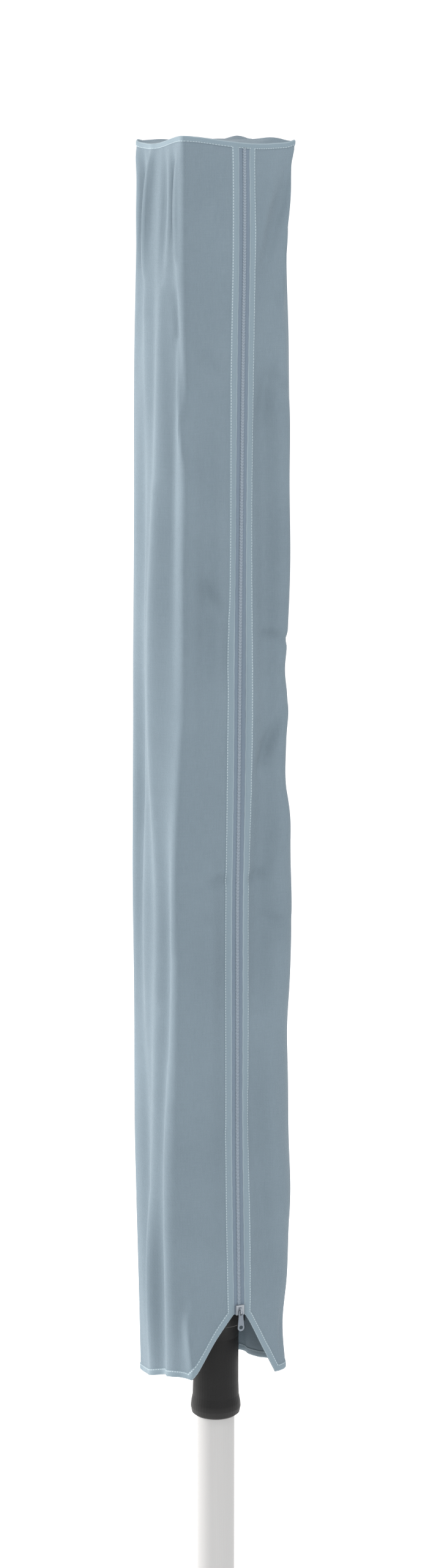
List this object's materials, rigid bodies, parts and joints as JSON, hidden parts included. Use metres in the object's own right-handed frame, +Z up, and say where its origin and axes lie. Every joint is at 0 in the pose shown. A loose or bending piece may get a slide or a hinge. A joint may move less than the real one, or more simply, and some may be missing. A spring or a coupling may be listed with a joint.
{
  "type": "rotary clothesline",
  "caption": "Folding rotary clothesline with umbrella arms, sliding crown and grip on a round mast, folded up inside a zipped fabric storage cover.",
  "frame": {"origin": "centre of the flat underside of the foot cup, on the mast's axis", "axes": "+Z up along the mast, -Y towards the side with the cover's zip, +X to the right of it"},
  "size_m": [0.198, 0.198, 2.2275],
  "materials": {
    "mast": "satin drawn tube",
    "arm": "satin drawn tube",
    "stay": "pressed channel",
    "pin": "plated rivet",
    "grip": "fine moulded texture",
    "moulding": "moulded",
    "rail": "moulded",
    "liner": "slippery plastic",
    "foot": "moulded",
    "lock": "turned",
    "cover": "woven polyester",
    "binding": "woven tape",
    "zip_tape": "woven tape",
    "zip_coil": "moulded coil",
    "zip_metal": "painted casting"
  },
  "bodies": {
    "foot_cup": {"foot_cup": "foot", "thrust_disc": "liner"},
    "mast": {"mast_tube": "mast", "foot_plug": "foot", "top_hub": "moulding", "top_cap": "moulding", "stay_pin_1": "pin", "stay_pin_2": "pin", "stay_pin_3": "pin", "stay_pin_4": "pin"},
    "stay_1": {"stay_1": "stay"},
    "stay_2": {"stay_2": "stay"},
    "stay_3": {"stay_3": "stay"},
    "stay_4": {"stay_4": "stay"},
    "arm_1": {"arm_tube_1": "arm", "arm_root_1": "moulding", "stay_bracket_1": "moulding", "line_rail_1": "rail", "tip_cap_1": "moulding", "knee_pin_1": "pin"},
    "arm_2": {"arm_tube_2": "arm", "arm_root_2": "moulding", "stay_bracket_2": "moulding", "line_rail_2": "rail", "tip_cap_2": "moulding", "knee_pin_2": "pin"},
    "arm_3": {"arm_tube_3": "arm", "arm_root_3": "moulding", "stay_bracket_3": "moulding", "line_rail_3": "rail", "tip_cap_3": "moulding", "knee_pin_3": "pin"},
    "arm_4": {"arm_tube_4": "arm", "arm_root_4": "moulding", "stay_bracket_4": "moulding", "line_rail_4": "rail", "tip_cap_4": "moulding", "knee_pin_4": "pin"},
    "crown": {"crown": "moulding", "crown_liner": "liner", "grip_sleeve": "grip", "arm_pin_1": "pin", "arm_pin_2": "pin", "arm_pin_3": "pin", "arm_pin_4": "pin"},
    "lock_pin": {"lock_pin": "lock"},
    "cover": {"cover_body": "cover", "cover_top": "cover", "zip_tape": "zip_tape", "zip_coil": "zip_coil", "binding_left": "binding", "binding_right": "binding", "hem_binding": "binding", "top_binding": "binding"},
    "zip_slider": {"zip_slider": "zip_metal"},
    "zip_pull": {"zip_pull": "zip_metal"}
  },
  "joints": [
    {"name": "mast_spin", "type": "hinge", "parent": "foot_cup", "child": "mast", "pos_m": [0, 0, 0.0103], "axis": [0, 0, 1], "continuous": true},
    {"name": "umbrella", "type": "hinge", "parent": "mast", "child": "stay_1", "pos_m": [0.01873, 0.04636, 2.15], "axis": [0.9272, -0.3746, 0], "range_deg": [0, 68], "deforming": ["cover_body", "cover_top", "zip_tape", "zip_coil", "binding_left", "binding_right", "hem_binding", "top_binding"]},
    {"name": "stay_2_hinge", "type": "hinge", "parent": "mast", "child": "stay_2", "pos_m": [-0.04636, 0.01873, 2.15], "axis": [0.3746, 0.9272, 0], "range_deg": [0, 68]},
    {"name": "stay_3_hinge", "type": "hinge", "parent": "mast", "child": "stay_3", "pos_m": [-0.01873, -0.04636, 2.15], "axis": [-0.9272, 0.3746, 0], "range_deg": [0, 68]},
    {"name": "stay_4_hinge", "type": "hinge", "parent": "mast", "child": "stay_4", "pos_m": [0.04636, -0.01873, 2.15], "axis": [-0.3746, -0.9272, 0], "range_deg": [0, 68]},
    {"name": "arm_1_hinge", "type": "hinge", "parent": "stay_1", "child": "arm_1", "pos_m": [0.01873, 0.04636, 1.451], "axis": [-0.9272, 0.3746, 0], "range_deg": [0, 136]},
    {"name": "arm_2_hinge", "type": "hinge", "parent": "stay_2", "child": "arm_2", "pos_m": [-0.04636, 0.01873, 1.451], "axis": [-0.3746, -0.9272, 0], "range_deg": [0, 136]},
    {"name": "arm_3_hinge", "type": "hinge", "parent": "stay_3", "child": "arm_3", "pos_m": [-0.01873, -0.04636, 1.451], "axis": [0.9272, -0.3746, 0], "range_deg": [0, 136]},
    {"name": "arm_4_hinge", "type": "hinge", "parent": "stay_4", "child": "arm_4", "pos_m": [0.04636, -0.01873, 1.451], "axis": [0.3746, 0.9272, 0], "range_deg": [0, 136]},
    {"name": "crown_hinge", "type": "hinge", "parent": "arm_1", "child": "crown", "pos_m": [0.01873, 0.04636, 0.752], "axis": [0.9272, -0.3746, 0], "range_deg": [0, 68]},
    {"name": "lock_pin_slide", "type": "slide", "parent": "crown", "child": "lock_pin", "axis": [0.3907, -0.9205, 0], "range_m": [0, 0.005]},
    {"name": "cover_lift", "type": "slide", "parent": "mast", "child": "cover", "axis": [0, 0, 1], "range_m": [0, 1.65]},
    {"name": "zip_slide", "type": "slide", "parent": "cover", "child": "zip_slider", "axis": [0, 0, 1], "range_m": [0, 1.414]},
    {"name": "pull_swing", "type": "hinge", "parent": "zip_slider", "child": "zip_pull", "pos_m": [0.03298, -0.07769, 0.725], "axis": [-0.9205, -0.3907, 0], "range_deg": [0, 110]}
  ],
  "couplings": [
    {"joint": "stay_2_hinge", "follows": "umbrella", "ratio": 1},
    {"joint": "stay_3_hinge", "follows": "umbrella", "ratio": 1},
    {"joint": "stay_4_hinge", "follows": "umbrella", "ratio": 1},
    {"joint": "arm_1_hinge", "follows": "umbrella", "ratio": 2},
    {"joint": "arm_2_hinge", "follows": "umbrella", "ratio": 2},
    {"joint": "arm_3_hinge", "follows": "umbrella", "ratio": 2},
    {"joint": "arm_4_hinge", "follows": "umbrella", "ratio": 2},
    {"joint": "crown_hinge", "follows": "umbrella", "ratio": 1},
    {"joint": "zip_slide", "follows": "umbrella", "m_per_rad": 1.1906}
  ]
}
